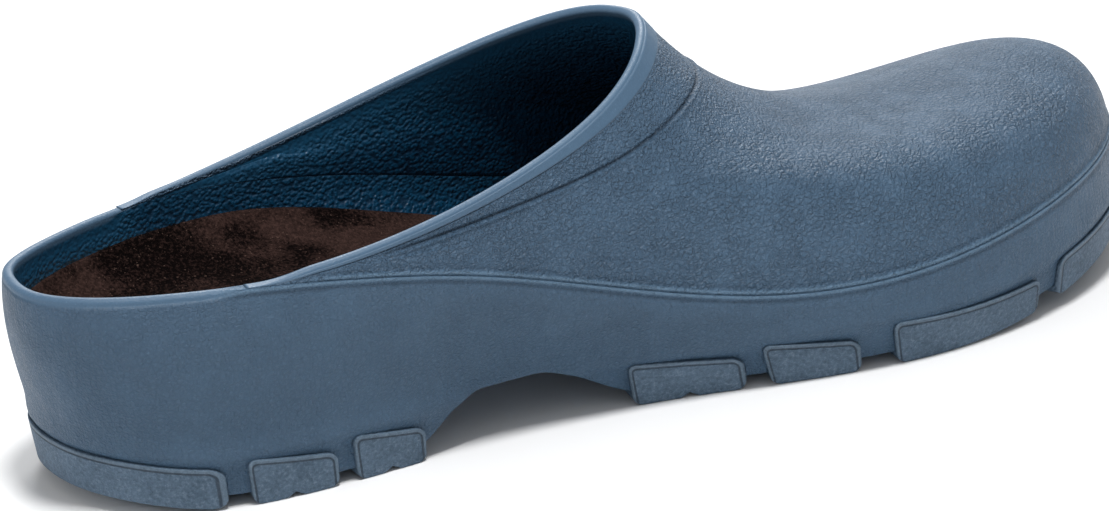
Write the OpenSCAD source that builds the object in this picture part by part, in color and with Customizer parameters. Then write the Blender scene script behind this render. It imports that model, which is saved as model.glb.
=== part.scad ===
// Moulded garden clog for the right foot, built as sole shell, vamp, tread lugs and a layered loose footbed.
// +X points to the toe, +Y to the inner (medial) side, +Z up.
// The origin is on the ground under the middle of the overall box.

/* [Overall] */
// Length over the toe and the heel collar
shoe_length = 300; // [240:1:360]
// Width over the ball of the foot
shoe_width = 110; // [90:1:132]
// Height of the collar's highest point over the instep
instep_height = 83; // [69:0.2:100]

/* [Sole shell] */
// Height of the sole shell's underside above the ground
tread_depth = 3; // [2.4:0.1:6]
// Rise of the underside in the waist, between heel and forefoot
arch_rise = 11; // [6:0.5:14]
// Lift of the toe off the ground
toe_spring = 8; // [0:0.5:10]
// Lift of the heel's back edge off the ground
heel_spring = 4.5; // [0:0.5:6]
// Height of the inner floor above the ground, at the heel
floor_heel = 24; // [20:0.1:29]
// Height of the inner floor above the ground, at the ball
floor_ball = 14; // [11:0.5:16]
// Thickness of the sole shell's side wall at the floor
shell_wall = 4.6; // [4:0.1:6]

/* [Vamp] */
// Thickness of the wall at the seam between shell and vamp
seam_wall = 3.5; // [2.8:0.1:3.9]
// Thickness of the wall at the rim of the foot opening
rim_wall = 2.6; // [2:0.1:3.4]

/* [Tread lugs] */
// How far a lug stands out from the sole wall
lug_proud = 1.2; // [0.8:0.1:2.5]
// How high a lug climbs up the sole wall, above the ground
lug_height = 10.5; // [8:0.5:15]
// Fall of a side lug's top from its rear end to its front end
lug_slope = 3; // [0:0.5:4]
// Reach of a lug under the sole, from its outer edge
lug_reach = 22; // [14:1:24]
// Corner radius of a lug's upper outline and of the middle blocks
lug_corner = 4; // [2:0.5:6]
// Corner radius of a lug's lower outline
foot_corner = 2; // [0.5:0.1:3]
// Width of the groove between a lug and a middle block
groove = 4; // [3:0.5:7]
// Bond line between a lug and the sole shell
bond_gap = 0.2; // [0.15:0.05:0.4]

/* [Footbed] */
// Thickness of the whole footbed at the middle of the heel
bed_heel = 11; // [8:0.5:13]
// Thickness of the whole footbed at the middle of the ball
bed_ball = 6; // [5:0.5:8]
// Height of the footbed's raised edge at the heel, above its middle
cup_rise = 11; // [6:0.5:12]
// Height of the footbed's raised edge at the ball, above its middle
ball_rise = 2.2; // [1:0.2:3]
// Thickness of the suede top cover
cover_t = 1.4; // [1:0.1:2]
// Thickness of each jute layer
jute_t = 0.8; // [0.6:0.1:1.2]
// Clearance between the footbed's edge and the shell's wall at the floor
bed_gap = 0.6; // [0.3:0.1:1]
// Clearance round the footbed's hidden front half, where it pivots as its heel is lifted
bed_front_gap = 1.6; // [1.2:0.1:3]
// Clearance between the footbed's underside and the shell's floor
bed_lift = 0.5; // [0.3:0.1:0.8]

/* [Hidden] */

// The last shape is drawn for a clog of this length, width and height, measured from the heel's ground line
drawn_length = 300;
drawn_width = 110;
drawn_height = 83;
// Middle of the drawn clog's overall box, from the heel's ground line
drawn_middle = [140.36, -0.48];

scale_x = shoe_length / drawn_length;
scale_y = shoe_width / drawn_width;
scale_z = instep_height / drawn_height;

// Ribs run round the clog from the back of the heel, over the outer side to the toe and back on the inner side.
// Each table holds one control point a rib, and closed B-splines through them give the smooth outlines.
// Ground outline of the tread
FOOT = [[-5, -1], [0, -20], [20, -36], [56, -39], [95, -35], [132, -36], [169, -48], [202, -55],
        [237, -51], [267, -36], [284, -15], [290, 8],
        [286, 31], [269, 46], [240, 52], [205, 53], [170, 46], [129, 37], [89, 34], [49, 36],
        [15, 32], [-3, 18]];
// Edge of the foot opening
RIM = [[-10, 1, 54.5], [-10, -15, 54.5], [9, -32, 55], [39, -38.5, 54], [76, -39, 58], [106, -36.5, 65],
       [130, -31, 73], [145, -21, 79], [152, -12, 82], [156, -5, 83], [158, 1, 83.5], [159, 7, 83],
       [159, 13, 82], [156.5, 19, 81.5], [151, 25, 80], [142, 31, 77], [127, 36, 72.5],
       [104, 39, 66], [74, 39.5, 58.5], [42, 37, 53], [14, 28, 52.5], [-6, 15, 53.5]];
// Seam between sole shell and vamp, which runs into the opening's edge at the heel
SEAM = [RIM[0], RIM[1], RIM[2], RIM[3], [84, -41, 47.5], [118, -41, 36], [160, -49, 23.6], [198, -57, 23],
        [234, -53, 28], [265, -37, 31.5], [284, -14, 32], [292, 9, 31.5],
        [288, 33, 30], [271, 48, 28], [240, 54, 25.5], [204, 55, 24.5], [164, 48, 26],
        [120, 42, 38], [84, 41, 48], RIM[19], RIM[20], RIM[21]];
// Vamp ribs: lift off the seam, crown's share of the way to the rim and its height, pull at the rim, its slope
VAMP = [[8, .5, 57, 8, 88], [8, .5, 57, 8, 88], [8, .5, 57, 8, 88], [6, .5, 56, 6, 86],
        [5, .5, 53, 5, 84], [9, .5, 52, 9, 80], [13, .35, 54, 14, 70], [12, .32, 51, 24, 60],
        [14.5, .32, 51.5, 35, 55], [18, .32, 51.5, 44, 54], [20, .32, 53.5, 47, 54], [20, .3, 52.5, 48, 54],
        [17, .32, 45, 49, 54], [9, .32, 36, 47, 55], [4.5, .32, 32, 42, 58], [8, .32, 38, 28, 62],
        [11, .4, 48, 16, 70], [9, .5, 52, 9, 80], [4, .5, 54, 4, 84], [6, .5, 56, 6, 86],
        [8, .5, 57, 8, 88], [8, .5, 57, 8, 88]];
rib_count = len(FOOT);
toe_rib = 11;

foot_ctrl = [for (p = FOOT) place(p)];
rim_ctrl = [for (p = RIM) place(p)];
seam_ctrl = [for (p = SEAM) place(p)];
vamp_ctrl = [for (v = VAMP) [v[0] * scale_z, v[1], v[2] * scale_z, v[3] * scale_z, v[4]]];

// Lean of the vamp at the seam, and how far the sole wall swells out below it
seam_lean = 0.12;
low_swell = 2.5;
high_swell = 0.8;
forefoot_swell = 0.5;
// Heights of wall between which its upper swell grows from the forefoot's to the heel's
swell_heights = [15, 45];
// Height of vamp above which its ribs take their full shape
vamp_full_height = 14;
// Rows of the footbed over which its dish rises to the back of the heel and to the toe
cup_rows = 8;
toe_rows = 3;

// Steps in each surface
steps_per_rib = 6;
wall_steps = 7;
inner_steps = 6;
vamp_steps = 11;
cross_steps = 8;
bed_steps_per_rib = 3;
bed_cross_steps = 10;
lug_facet = 6;
lug_end_steps = 4;
// Share of the tread's thickness that the rounding of a lug's foot may take
thin_end = .7;
normal_step = 0.02;

// Stretches along the clog, from the heel's ground line of the drawn clog
arch_back = [72, 92];
arch_front = [106, 135];
spring_span = [205, 300];
heel_span = [-8, 30];
floor_span = [60, 160];
cup_span = [35, 170];
front_gap_span = [100, 190];
heel_lug_end = 26;
heel_lugs = [[31.5, 53], [57.5, 76]];
ball_lugs = [[130.5, 158], [163.5, 186], [195, 238]];
toe_lug_end = 245;
heel_block_span = [27, 74];
vamp_ends = [2.8, 19.2];

// ---- helpers ----
function place(p) = [(p.x - drawn_middle.x) * scale_x, (p.y - drawn_middle.y) * scale_y,
                     (len(p) > 2 ? p.z : 0) * scale_z];
function along(x) = (x - drawn_middle.x) * scale_x;
function unit(v) = v / norm(v);
function mix(a, b, t) = a + (b - a) * t;
function smooth(t) = let (s = min(1, max(0, t))) s * s * (3 - 2 * s);
function ease(x, span) = smooth((x - along(span[0])) / (along(span[1]) - along(span[0])));

// Closed cubic B-spline over one control point a rib, and its direction
function spline(T, u) = let (n = len(T), i = floor(u), t = u - i,
    a = T[(i - 1 + n) % n], b = T[(i + n) % n], c = T[(i + 1 + n) % n], d = T[(i + 2 + n) % n])
    (pow(1 - t, 3) * a + (3 * pow(t, 3) - 6 * t * t + 4) * b
     + (-3 * pow(t, 3) + 3 * t * t + 3 * t + 1) * c + pow(t, 3) * d) / 6;
function spline_way(T, u) = let (n = len(T), i = floor(u), t = u - i,
    a = T[(i - 1 + n) % n], b = T[(i + n) % n], c = T[(i + 1 + n) % n], d = T[(i + 2 + n) % n])
    (-pow(1 - t, 2) * a + (3 * t * t - 4 * t) * b + (-3 * t * t + 2 * t + 1) * c + t * t * d) / 2;
// Level direction that points out of an outline
function outward(T, u) = let (w = spline_way(T, u)) unit([w.y, -w.x, 0]);
function bezier(a, b, c, d, t) = pow(1 - t, 3) * a + 3 * pow(1 - t, 2) * t * b
    + 3 * (1 - t) * t * t * c + pow(t, 3) * d;

// ---- heights along the clog ----
function ground_z(x) = toe_spring * ease(x, spring_span) + heel_spring * (1 - ease(x, heel_span));
function under_z(x) = ground_z(x) + tread_depth + arch_rise * ease(x, arch_back) * (1 - ease(x, arch_front));
function floor_z(x) = mix(floor_heel, floor_ball, ease(x, floor_span)) + toe_spring / 2 * ease(x, spring_span);
function bed_z(x) = floor_z(x) + bed_lift;
function bed_top_z(x) = floor_z(x) + mix(bed_heel, bed_ball, ease(x, floor_span));
function bed_edge_rise(x) = mix(cup_rise, ball_rise, ease(x, cup_span));

// ---- outer surface of the sole wall: t runs from its lower edge to the seam ----
function wall_foot(u) = let (f = spline(foot_ctrl, u), o = outward(foot_ctrl, u))
    [f.x, f.y, under_z(f.x)] - lug_proud * o;
function wall_point(u, t) = let (o = outward(foot_ctrl, u), a = wall_foot(u), p = spline(seam_ctrl, u),
    h = p.z - a.z, up = [0, 0, 1],
    rise = smooth((h - swell_heights[0]) / (swell_heights[1] - swell_heights[0])),
    top_swell = mix(forefoot_swell, high_swell, rise))
    bezier(a, a + up * h * .35 + o * low_swell, p - (up - seam_lean * o) * h * .35 + o * top_swell, p, t);
function wall_out(u, t) = unit(cross(wall_point(u + normal_step, t) - wall_point(u - normal_step, t),
    wall_point(u, min(1, t + normal_step)) - wall_point(u, max(0, t - normal_step))));
function wall_offset(u, t, inset) = wall_point(u, t) - inset * wall_out(u, t);
// Share of the wall at which its offset surface reaches a height
function wall_share(u, z, inset, lo = 0, hi = 1, n = 10) = n == 0 ? (lo + hi) / 2 :
    let (m = (lo + hi) / 2, below = wall_offset(u, m, inset).z < z)
    wall_share(u, z, inset, below ? m : lo, below ? hi : m, n - 1);
// Point inside the wall at a height, a distance in from the outer surface
function wall_inside(u, z, inset) = let (p = wall_offset(u, wall_share(u, z, inset), inset)) [p.x, p.y, z];

// ---- outer surface of the vamp: t runs from the seam to the rim ----
// 1 where the vamp has its full shape, falling to 0 where the seam runs into the rim
function vamp_full(u) = pow(min(1, norm(spline(rim_ctrl, u) - spline(seam_ctrl, u)) / vamp_full_height), 2);
function vamp_point(u, t) = let (o = outward(foot_ctrl, u), p = spline(seam_ctrl, u), r = spline(rim_ctrl, u),
    v = spline(vamp_ctrl, u), ro = outward(rim_ctrl, u), flat = mix(p, r, v[1]),
    full = vamp_full(u),
    b = mix(mix(p, r, .25), p + ([0, 0, 1] - seam_lean * o) * v[0], full),
    c = mix(mix(p, r, .5), [flat.x, flat.y, v[2]], full),
    d = mix(mix(p, r, .75), r + (ro * cos(v[4]) - [0, 0, 1] * sin(v[4])) * v[3], full),
    bc = (b + c) / 2, cd = (c + d) / 2, m = (bc + cd) / 2)
    t < .5 ? bezier(p, b, bc, m, 2 * t) : bezier(m, cd, d, r, 2 * t - 1);
// Its outward direction, taken level where the vamp runs out to a thin point
function vamp_out(u, t) = let (n = unit(cross(vamp_point(u + normal_step, t) - vamp_point(u - normal_step, t),
    vamp_point(u, min(1, t + normal_step)) - vamp_point(u, max(0, t - normal_step)))))
    unit(mix(outward(seam_ctrl, u), n, vamp_full(u)));

// Point on the shell's top ledge, inside the seam: thinner where the shell itself carries the rim
function ledge(u) = spline(seam_ctrl, u) - mix(rim_wall, seam_wall, vamp_full(u)) * outward(seam_ctrl, u);
// Wall thickness from the floor up to the seam, and from the seam up to the rim
function shell_inset(u, t) = mix(shell_wall, mix(rim_wall, seam_wall, vamp_full(u)), t * t);
function vamp_inset(u, t) = mix(mix(rim_wall, seam_wall, vamp_full(u)), rim_wall, t * t);

// ---- solids from rows of points ----
// Two triangles for each cell, without those that shrink to nothing at the heel or the toe
function cell(a, b, c, d) = concat(a == b || b == c || a == c ? [] : [[a, b, c]],
    a == c || c == d || a == d ? [] : [[a, c, d]]);

// Skin of a shoe-shaped sheet: index of a point on row k, column c, its edges shared with the side wall
function row_index(k, c, rows, cols, edge_a, edge_b, inner) = k == 0 ? edge_a(0) : k == rows ? edge_a(rows) :
    c == 0 ? edge_a(k) : c == cols ? edge_b(k) : inner + (k - 1) * (cols - 1) + c - 1;

// ---- sole shell ----
shell_count = rib_count * steps_per_rib;
shell_column = wall_steps + 1 + inner_steps + 1;
shell_rows = toe_rib * steps_per_rib;

function shell_ring(k) = let (u = k / steps_per_rib, p = spline(foot_ctrl, u), fz = floor_z(wall_foot(u).x),
    low = wall_share(u, fz, shell_wall))
    concat([for (j = [0 : wall_steps]) wall_point(u, j / wall_steps)],
        [for (j = [0 : inner_steps]) let (t = mix(1, low, j / inner_steps))
            j == 0 ? ledge(u) :
            let (q = wall_offset(u, t, shell_inset(u, t))) [q.x, q.y, j == inner_steps ? fz : q.z]]);

function across(a, b, c, cols) = mix(a, b, c / cols);

module sole_shell() {
    rings = [for (k = [0 : shell_count - 1]) shell_ring(k)];
    last = shell_column - 1;
    bottoms = [for (k = [1 : shell_rows - 1]) for (c = [1 : cross_steps - 1])
        let (p = across(rings[k][0], rings[shell_count - k][0], c, cross_steps)) [p.x, p.y, under_z(p.x)]];
    floors = [for (k = [1 : shell_rows - 1]) for (c = [1 : cross_steps - 1])
        let (p = across(rings[k][last], rings[shell_count - k][last], c, cross_steps)) [p.x, p.y, floor_z(p.x)]];
    points = concat([for (r = rings) each r], bottoms, floors);
    bottom_start = shell_count * shell_column;
    floor_start = bottom_start + len(bottoms);
    at = function (k, j) (k % shell_count) * shell_column + j;
    low = function (k, c) row_index(k, c, shell_rows, cross_steps,
        function (k) at(k, 0), function (k) at(shell_count - k, 0), bottom_start);
    high = function (k, c) row_index(k, c, shell_rows, cross_steps,
        function (k) at(k, last), function (k) at(shell_count - k, last), floor_start);
    sides = [for (k = [0 : shell_count - 1]) for (j = [0 : last - 1])
        each cell(at(k, j), at(k, j + 1), at(k + 1, j + 1), at(k + 1, j))];
    under = [for (k = [0 : shell_rows - 1]) for (c = [0 : cross_steps - 1])
        each cell(low(k, c), low(k + 1, c), low(k + 1, c + 1), low(k, c + 1))];
    inside = [for (k = [0 : shell_rows - 1]) for (c = [0 : cross_steps - 1])
        each cell(high(k, c), high(k, c + 1), high(k + 1, c + 1), high(k + 1, c))];
    color("steelblue") polyhedron(points, concat(sides, under, inside), convexity = 8);
}

// ---- vamp ----
vamp_first = ceil(vamp_ends[0] * steps_per_rib);
vamp_last = floor(vamp_ends[1] * steps_per_rib);

function vamp_ring(k) = let (u = k / steps_per_rib)
    concat([for (j = [0 : vamp_steps]) vamp_point(u, j / vamp_steps)],
        [for (j = [vamp_steps : -1 : 1]) let (t = j / vamp_steps) vamp_point(u, t) - vamp_inset(u, t) * vamp_out(u, t)],
        [ledge(u)]);

module vamp() {
    rings = [for (k = [vamp_first : vamp_last]) vamp_ring(k)];
    column = 2 * (vamp_steps + 1);
    count = len(rings);
    at = function (k, j) k * column + j % column;
    skin = [for (k = [0 : count - 2]) for (j = [0 : column - 1])
        each cell(at(k, j), at(k, j + 1), at(k + 1, j + 1), at(k + 1, j))];
    start = [for (j = [0 : vamp_steps - 1])
        each cell(at(0, j), at(0, column - 1 - j), at(0, column - 2 - j), at(0, j + 1))];
    end = [for (j = [0 : vamp_steps - 1]) let (k = count - 1)
        each cell(at(k, j), at(k, j + 1), at(k, column - 2 - j), at(k, column - 1 - j))];
    color("lightsteelblue") polyhedron([for (r = rings) each r], concat(skin, start, end), convexity = 8);
}

// ---- footbed: each layer lies between two of five stacked surfaces ----
bed_rows = toe_rib * bed_steps_per_rib;

// Height of a stacked surface at its middle and at its edge: 0 is the underside, 4 the top
function layer_mid_z(x, level) = level == 0 ? bed_z(x) : level == 1 ? bed_z(x) + jute_t :
    level == 2 ? bed_top_z(x) - cover_t - jute_t : level == 3 ? bed_top_z(x) - cover_t : bed_top_z(x);
function layer_edge_z(x, level) = layer_mid_z(x, level) + (level < 2 ? 0 : bed_edge_rise(x));
function bed_clearance(x) = mix(bed_gap, bed_front_gap, ease(x, front_gap_span));
function bed_edge(u, level) = let (x = wall_foot(u).x)
    wall_inside(u, layer_edge_z(x, level), shell_wall + bed_clearance(x));
// Share of the edge's rise that the dished top takes at row k, column c
function dish(k, c) = 1 - (1 - pow(abs(2 * c / bed_cross_steps - 1), 3))
    * (1 - pow(max(0, 1 - k / cup_rows), 2)) * (1 - pow(max(0, 1 - (bed_rows - k) / toe_rows), 2));
function bed_row(k, level) = let (u = k / bed_steps_per_rib, a = bed_edge(u, level),
    b = bed_edge(rib_count - u, level))
    k == 0 || k == bed_rows ? [a] :
    [for (c = [0 : bed_cross_steps]) let (p = across(a, b, c, bed_cross_steps))
        [p.x, p.y, c == 0 ? a.z : c == bed_cross_steps ? b.z : mix(layer_mid_z(p.x, level), p.z, dish(k, c))]];

module layer(low_level, high_level) {
    sheets = [for (level = [low_level, high_level]) [for (k = [0 : bed_rows]) each bed_row(k, level)]];
    width = bed_cross_steps + 1;
    per_sheet = len(sheets[0]);
    at = function (s, k, c) s * per_sheet + (k == 0 ? 0 : k == bed_rows ? per_sheet - 1 : 1 + (k - 1) * width + c);
    under = [for (k = [0 : bed_rows - 1]) for (c = [0 : bed_cross_steps - 1])
        each cell(at(0, k, c), at(0, k + 1, c), at(0, k + 1, c + 1), at(0, k, c + 1))];
    over = [for (k = [0 : bed_rows - 1]) for (c = [0 : bed_cross_steps - 1])
        each cell(at(1, k, c), at(1, k, c + 1), at(1, k + 1, c + 1), at(1, k + 1, c))];
    outer = [for (k = [0 : bed_rows - 1])
        each cell(at(0, k, 0), at(1, k, 0), at(1, k + 1, 0), at(0, k + 1, 0))];
    inner = [for (k = [0 : bed_rows - 1]) let (c = bed_cross_steps)
        each cell(at(0, k, c), at(0, k + 1, c), at(1, k + 1, c), at(1, k, c))];
    polyhedron(concat(sheets[0], sheets[1]), concat(outer, inner, under, over), convexity = 4);
}

module footbed_cover() { color("saddlebrown") layer(3, 4); }
module footbed_upper_jute() { color("burlywood") layer(2, 3); }
module footbed_cork() { color("peru") layer(1, 2); }
module footbed_lower_jute() { color("tan") layer(0, 1); }

// ---- tread lugs ----
// Rib position at which the ground outline reaches a place along the clog, on the outer or the inner side
function rib_at(x, outer, lo = 0, hi = toe_rib, n = 16) = n == 0 ? (outer ? (lo + hi) / 2 : rib_count - (lo + hi) / 2) :
    let (m = (lo + hi) / 2, here = spline(foot_ctrl, outer ? m : rib_count - m).x)
    here < x ? rib_at(x, outer, m, hi, n - 1) : rib_at(x, outer, lo, m, n - 1);

// Places along a lug's length from 0 to 1, closer together in its rounded ends
function lug_places(length) = let (e = lug_corner / length, steps = max(4, ceil(length / lug_facet)))
    concat([for (i = [0 : lug_end_steps - 1]) e * (1 - cos(90 * i / lug_end_steps))],
        [for (i = [0 : steps]) mix(e, 1 - e, i / steps)],
        [for (i = [lug_end_steps - 1 : -1 : 0]) 1 - e * (1 - cos(90 * i / lug_end_steps))]);
function corner_drop(s, length) = let (d = min(s, 1 - s) * length)
    d >= lug_corner ? 0 : lug_corner - sqrt(max(0, lug_corner * lug_corner - pow(lug_corner - d, 2)));

function foot_rise(s, length) = let (r = min(foot_corner, (tread_depth - bond_gap) * thin_end),
    d = min(s, 1 - s) * length) d >= r ? 0 : r - sqrt(max(0, r * r - pow(r - d, 2)));

// Cross-section of a lug: outer face, top, bond line down the wall and under the shell, inner end
function lug_section(u, top, rise) = let (f = spline(foot_ctrl, u), o = outward(foot_ctrl, u), x = f.x,
    base = ground_z(x), high = top + base, a = wall_foot(u), wall_low = wall_inside(u, mix(a.z, high, .5), -bond_gap),
    wall_high = wall_inside(u, high, -bond_gap), in = [f.x, f.y, 0] - lug_reach * o)
    [[f.x, f.y, base + rise], wall_inside(u, high, -lug_proud), wall_high, wall_low,
     [a.x, a.y, a.z - bond_gap] + bond_gap * o, [in.x, in.y, under_z(in.x) - bond_gap],
     [in.x, in.y, ground_z(in.x) + rise]];

// Solid through a row of cross-sections with equal numbers of points
module run(sections) {
    count = len(sections);
    column = len(sections[0]);
    at = function (k, j) k * column + j % column;
    skin = [for (k = [0 : count - 2]) for (j = [0 : column - 1])
        each cell(at(k, j), at(k, j + 1), at(k + 1, j + 1), at(k + 1, j))];
    ends = [for (e = [1 : column - 2]) each
        [[at(0, 0), at(0, e + 1), at(0, e)], [at(count - 1, 0), at(count - 1, e), at(count - 1, e + 1)]]];
    color("slategray") polyhedron([for (s = sections) each s], concat(skin, ends), convexity = 4);
}

// Lug between two rib positions; its top falls by a slope over its length
module lug(u0, u1, length, slope = 0) {
    run([for (s = lug_places(length)) lug_section(mix(u0, u1, s),
        lug_height + slope * (.5 - s) - corner_drop(s, length), foot_rise(s, length))]);
}

// A lug on one side between two places along the clog
module side_lug(span, outer) {
    a = rib_at(along(span[0]), outer);
    b = rib_at(along(span[1]), outer);
    lug(min(a, b), max(a, b), (span[1] - span[0]) * scale_x, outer ? lug_slope : -lug_slope);
}

module lug_heel_back() {
    end = rib_at(along(heel_lug_end), true);
    start = rib_at(along(heel_lug_end), false) - rib_count;
    lug(start, end, PI * heel_lug_end * scale_x);
}
module lug_heel_outer_rear() { side_lug(heel_lugs[0], true); }
module lug_heel_outer_front() { side_lug(heel_lugs[1], true); }
module lug_heel_inner_rear() { side_lug(heel_lugs[0], false); }
module lug_heel_inner_front() { side_lug(heel_lugs[1], false); }
module lug_ball_outer_rear() { side_lug(ball_lugs[0], true); }
module lug_ball_outer_middle() { side_lug(ball_lugs[1], true); }
module lug_ball_outer_front() { side_lug(ball_lugs[2], true); }
module lug_ball_inner_rear() { side_lug(ball_lugs[0], false); }
module lug_ball_inner_middle() { side_lug(ball_lugs[1], false); }
module lug_ball_inner_front() { side_lug(ball_lugs[2], false); }
module lug_toe_wrap() {
    start = rib_at(along(toe_lug_end), true);
    end = rib_at(along(toe_lug_end), false);
    lug(start, end, PI * (drawn_length - toe_lug_end) * scale_x);
}

// ---- middle tread blocks, between the lugs of the two sides ----
// Cross-section of a block at a place along the clog, drawn in from both sides by a rounded corner
function block_section(x, drop, low_y, high_y) = [
    [x, low_y + drop, ground_z(x)], [x, low_y + drop, under_z(x) - bond_gap],
    [x, high_y - drop, under_z(x) - bond_gap], [x, high_y - drop, ground_z(x)]];

module block(span) {
    inset = lug_reach + groove;
    xs = [along(span[0]), along(span[1])];
    lows = [for (x = xs) spline(foot_ctrl, rib_at(x, true)).y + inset];
    highs = [for (x = xs) spline(foot_ctrl, rib_at(x, false)).y - inset];
    length = xs[1] - xs[0];
    run([for (s = lug_places(length)) block_section(mix(xs[0], xs[1], s), corner_drop(s, length),
        mix(lows[0], lows[1], s), mix(highs[0], highs[1], s))]);
}
module tread_heel_block() { block(heel_block_span); }
module tread_ball_block_rear() { block(ball_lugs[0]); }
module tread_ball_block_middle() { block(ball_lugs[1]); }
module tread_ball_block_front() { block(ball_lugs[2]); }

sole_shell();
vamp();
footbed_cover();
footbed_upper_jute();
footbed_cork();
footbed_lower_jute();
lug_heel_back();
lug_heel_outer_rear();
lug_heel_outer_front();
lug_heel_inner_rear();
lug_heel_inner_front();
lug_ball_outer_rear();
lug_ball_outer_middle();
lug_ball_outer_front();
lug_ball_inner_rear();
lug_ball_inner_middle();
lug_ball_inner_front();
lug_toe_wrap();
tread_heel_block();
tread_ball_block_rear();
tread_ball_block_middle();
tread_ball_block_front();
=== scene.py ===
import math

import bmesh
import bpy
import numpy as np
from mathutils import Matrix, Vector


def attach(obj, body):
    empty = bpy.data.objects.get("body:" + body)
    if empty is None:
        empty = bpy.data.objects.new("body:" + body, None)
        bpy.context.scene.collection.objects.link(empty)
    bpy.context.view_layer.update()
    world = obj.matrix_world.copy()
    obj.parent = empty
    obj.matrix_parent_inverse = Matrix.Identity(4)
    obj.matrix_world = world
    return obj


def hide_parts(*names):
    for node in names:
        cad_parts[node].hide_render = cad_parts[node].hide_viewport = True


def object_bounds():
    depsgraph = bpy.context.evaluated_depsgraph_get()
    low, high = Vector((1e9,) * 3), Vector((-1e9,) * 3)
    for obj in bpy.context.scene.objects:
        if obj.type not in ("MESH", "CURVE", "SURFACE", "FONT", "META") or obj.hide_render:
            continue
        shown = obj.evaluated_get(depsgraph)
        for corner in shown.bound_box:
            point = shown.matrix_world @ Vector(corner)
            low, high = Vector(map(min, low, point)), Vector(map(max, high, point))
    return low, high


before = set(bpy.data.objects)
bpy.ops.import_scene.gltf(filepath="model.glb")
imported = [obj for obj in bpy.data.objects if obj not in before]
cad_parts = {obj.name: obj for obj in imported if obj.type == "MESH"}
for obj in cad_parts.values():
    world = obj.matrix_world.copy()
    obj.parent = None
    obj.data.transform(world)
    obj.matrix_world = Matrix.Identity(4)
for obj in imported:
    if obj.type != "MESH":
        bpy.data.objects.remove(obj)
cad_low, cad_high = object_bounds()

# ---- Camera ----
# It looks at the clog's outer side from a little behind the middle and above, with a long lens,
# and is tilted so that the sole runs uphill towards the toe.
azimuth, elevation, tilt = map(math.radians, (-26, 21.5, 4))
look_at = Vector((-0.00978, 0.00048, 0.02688))
camera_distance = 1.2
back = Vector((math.sin(azimuth) * math.cos(elevation), -math.cos(azimuth) * math.cos(elevation),
               math.sin(elevation)))
level = Vector((math.cos(azimuth), math.sin(azimuth), 0))
rise = level.cross(-back)
right = level * math.cos(tilt) - rise * math.sin(tilt)
upright = level * math.sin(tilt) + rise * math.cos(tilt)
camera = bpy.data.objects.new("camera", bpy.data.cameras.new("camera"))
camera.data.lens = 160.1
camera.data.sensor_width = 36
camera.data.clip_start = 0.05
camera.data.clip_end = 30
turn = Matrix((right, upright, back)).transposed().to_4x4()
camera.matrix_world = Matrix.Translation(look_at + back * camera_distance) @ turn
bpy.context.scene.collection.objects.link(camera)
bpy.context.scene.camera = camera

# ---- Sole shell ----
# The deep moulded shell: heel cup, side wall and floor in one piece of blue rubbery foam. Its skin takes a fine
# leather grain and faint slanting creases from the mould, and a thin lip of flash stands along its seam with the
# vamp. At the heel it carries the rounded edge of the foot opening. Inside it is knobbly, and coloured a dark navy
# that is painted shade, with painted glints.
MM = 0.001
UP = np.array([0.0, 0.0, 1.0])
# Size of the box that the outlines below are drawn for, and its middle from the heel's ground line
drawn_box = np.array([300.98, 110.47, 83.33])
drawn_middle = np.array([140.36, -0.48, 0.0])
stretch = np.array([high - low for low, high in zip(cad_low, cad_high)]) / MM / drawn_box


def place(rows):
    """Outline points on the clog, in millimetres in the frame."""
    full = np.array([(*row, 0.0)[:3] for row in rows], dtype=float)
    return (full - drawn_middle) * stretch


# One control point a rib, from the back of the heel over the outer side to the toe, and back on the inner side
FOOT = place([[-5, -1], [0, -20], [20, -36], [56, -39], [95, -35], [132, -36], [169, -48], [202, -55],
              [237, -51], [267, -36], [284, -15], [290, 8],
              [286, 31], [269, 46], [240, 52], [205, 53], [170, 46], [129, 37], [89, 34], [49, 36],
              [15, 32], [-3, 18]])
rim_rows = [[-10, 1, 54.5], [-10, -15, 54.5], [9, -32, 55], [39, -38.5, 54], [76, -39, 58], [106, -36.5, 65],
            [130, -31, 73], [145, -21, 79], [152, -12, 82], [156, -5, 83], [158, 1, 83.5], [159, 7, 83],
            [159, 13, 82], [156.5, 19, 81.5], [151, 25, 80], [142, 31, 77], [127, 36, 72.5],
            [104, 39, 66], [74, 39.5, 58.5], [42, 37, 53], [14, 28, 52.5], [-6, 15, 53.5]]
RIM = place(rim_rows)
SEAM = place(rim_rows[:4] + [[84, -41, 47.5], [118, -41, 36], [160, -49, 23.6], [198, -57, 23],
                             [234, -53, 28], [265, -37, 31.5], [284, -14, 32], [292, 9, 31.5],
                             [288, 33, 30], [271, 48, 28], [240, 54, 25.5], [204, 55, 24.5], [164, 48, 26],
                             [120, 42, 38], [84, 41, 48]] + rim_rows[19:])
RIBS = len(FOOT)
TOE_RIB = 11
shell_wall, seam_wall, rim_wall = 4.6, 3.5, 2.6
tread_depth, lug_proud = 3.0, 1.2
toe_spring, heel_spring, arch_rise = 8.0, 4.5, 11.0
floor_heel, floor_ball, floor_toe_rise = 24.0, 14.0, 4.0
seam_lean = 0.12
# Height of the vamp from which it has its full shape
full_height = 14.0


def spline(table, u):
    """Closed cubic B-spline over one control point a rib."""
    first = np.floor(u).astype(int)
    t = (u - first)[..., None]
    a, b, c, d = (table[(first + step) % RIBS] for step in (-1, 0, 1, 2))
    return ((1 - t) ** 3 * a + (3 * t ** 3 - 6 * t ** 2 + 4) * b
            + (-3 * t ** 3 + 3 * t ** 2 + 3 * t + 1) * c + t ** 3 * d) / 6


def unit(v):
    return v / np.maximum(np.linalg.norm(v, axis=-1, keepdims=True), 1e-9)


def outward(table, u):
    """Level direction that points out of an outline."""
    way = spline(table, u + 0.01) - spline(table, u - 0.01)
    return unit(np.stack([way[..., 1], -way[..., 0], 0 * way[..., 0]], -1))


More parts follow.
